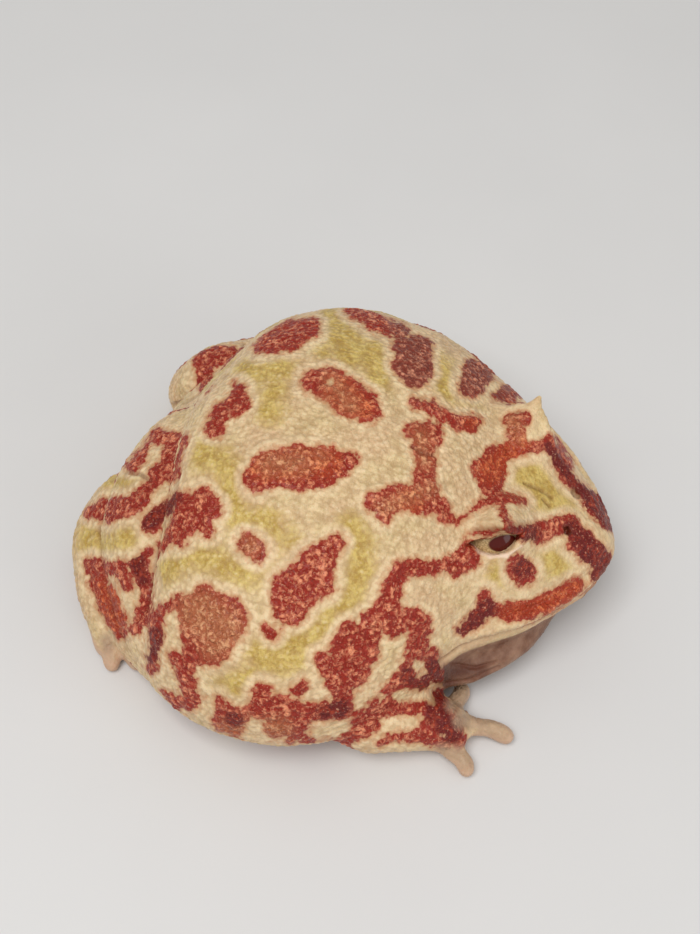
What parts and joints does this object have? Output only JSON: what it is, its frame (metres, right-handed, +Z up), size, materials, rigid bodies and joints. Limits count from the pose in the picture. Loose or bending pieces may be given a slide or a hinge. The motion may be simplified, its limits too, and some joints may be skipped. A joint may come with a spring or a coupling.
{
  "type": "horned frog model",
  "caption": "Life-size still model of a squat, wide-mouthed horned frog at rest, with pointed brow horns, folded legs and blotched warty skin.",
  "frame": {"origin": "middle of the bounding box in plan, at floor height", "axes": "+X to the frog's left, -Y the way it faces, +Z up"},
  "size_m": [0.117, 0.1208, 0.053],
  "materials": {
    "skin": "warty moist skin, cream and yellow-green with red patches",
    "throat": "smooth moist pale pink skin",
    "horn": "smooth pale skin",
    "eye": "wet and glossy, dark maroon"
  },
  "bodies": {
    "root": {"torso": "skin", "head": "skin", "lower_jaw": "throat", "eye_right": "eye", "eye_left": "eye", "horn_right": "horn", "horn_left": "horn", "upper_arm_right": "skin", "upper_arm_left": "skin", "forearm_right": "skin", "forearm_left": "skin", "hand_right": "skin", "hand_left": "skin", "thigh_right": "skin", "thigh_left": "skin", "shank_right": "skin", "shank_left": "skin", "foot_right": "skin", "foot_left": "skin", "toes_right": "skin", "toes_left": "skin"}
  },
  "joints": []
}
